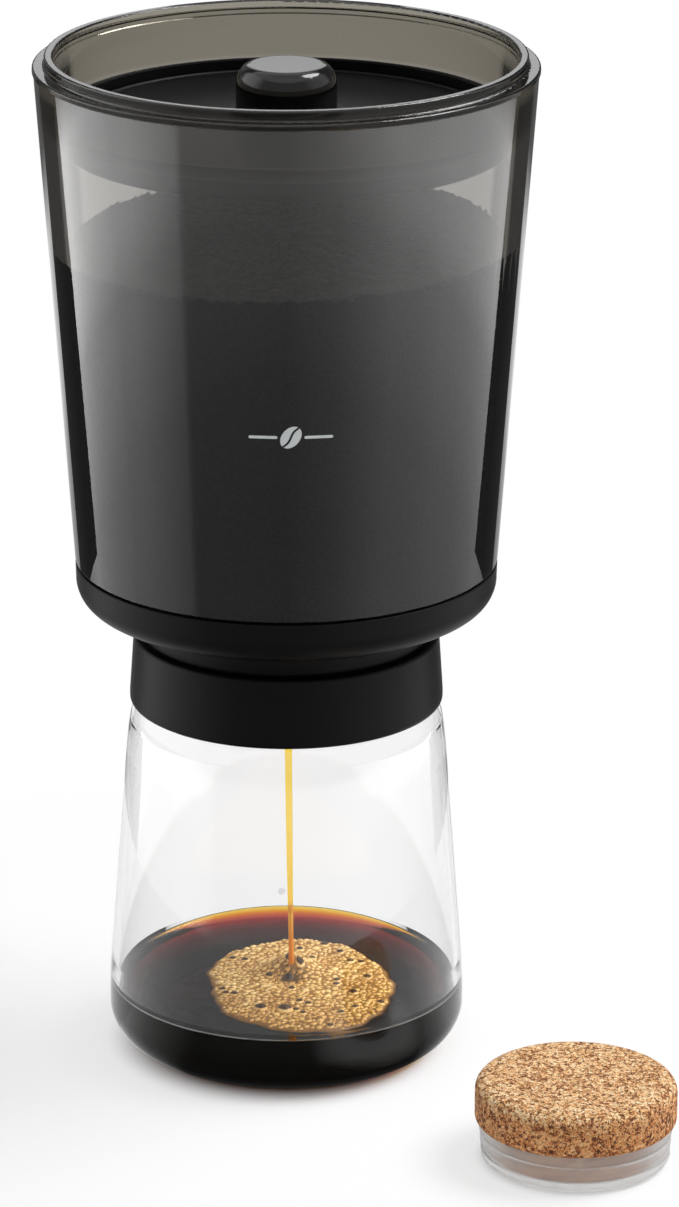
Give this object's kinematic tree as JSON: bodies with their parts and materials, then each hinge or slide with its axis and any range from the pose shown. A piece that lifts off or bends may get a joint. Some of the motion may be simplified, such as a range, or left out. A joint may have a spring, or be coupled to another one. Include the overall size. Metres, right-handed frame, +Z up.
{
  "type": "cold brew coffee maker",
  "caption": "Cold brew coffee maker: smoke-tinted tapered container with knobbed cover and drain valve on a clear glass carafe, with a cork stopper beside it.",
  "frame": {"origin": "centre of the carafe's flat foot, on the table", "axes": "+Z up along the common axis of carafe and container; -Y is the front, and the stopper stands at +X, -Y"},
  "size_m": [0.1908, 0.195, 0.314],
  "materials": {
    "clear_glass": "clear polished",
    "smoke_plastic": "transparent smoke tint, polished",
    "black_plastic": "satin",
    "gloss_black": "gloss",
    "black_rubber": "matte",
    "grey_silicone": "matte",
    "clear_silicone": "translucent matte",
    "steel": "brushed",
    "cork": "matte agglomerate"
  },
  "bodies": {
    "carafe": {"carafe_glass": "clear_glass"},
    "valve": {"valve_foot": "black_plastic", "valve_stem": "steel", "valve_seal": "grey_silicone", "valve_clip": "steel", "valve_spring": "steel"},
    "container": {"container_shell": "smoke_plastic", "drain_base": "black_plastic", "neck_collar": "black_plastic", "shell_gasket": "grey_silicone", "drain_floor": "black_plastic", "drain_spout": "black_plastic", "neck_guide": "black_plastic", "floor_screws": "steel"},
    "filter": {"filter_frame": "black_plastic", "filter_mesh": "steel", "filter_gasket": "grey_silicone", "filter_tab": "black_plastic"},
    "cover": {"cover_dish": "black_plastic", "cover_seal": "black_rubber", "cover_plate": "black_plastic", "knob_ring": "black_plastic", "knob_shell": "gloss_black", "knob_screw": "steel"},
    "stopper": {"stopper_cork": "cork", "stopper_plug": "clear_silicone"}
  },
  "joints": [
    {"name": "brewer_lift", "type": "slide", "parent": "carafe", "child": "valve", "axis": [0, 0, 1], "range_m": [0, 0.15]},
    {"name": "valve_travel", "type": "slide", "parent": "valve", "child": "container", "axis": [0, 0, 1], "range_m": [0, 0.004], "stiffness_N_per_m": 400, "springref_m": 0.006, "deforming": ["valve_spring"]},
    {"name": "cover_lift", "type": "slide", "parent": "container", "child": "cover", "axis": [0, 0, 1], "range_m": [0, 0.1]},
    {"name": "filter_lift", "type": "slide", "parent": "container", "child": "filter", "axis": [0, 0, 1], "range_m": [0, 0.112]},
    {"name": "stopper_lift", "type": "slide", "parent": "carafe", "child": "stopper", "axis": [0, 0, 1], "range_m": [0, 0.1]}
  ]
}
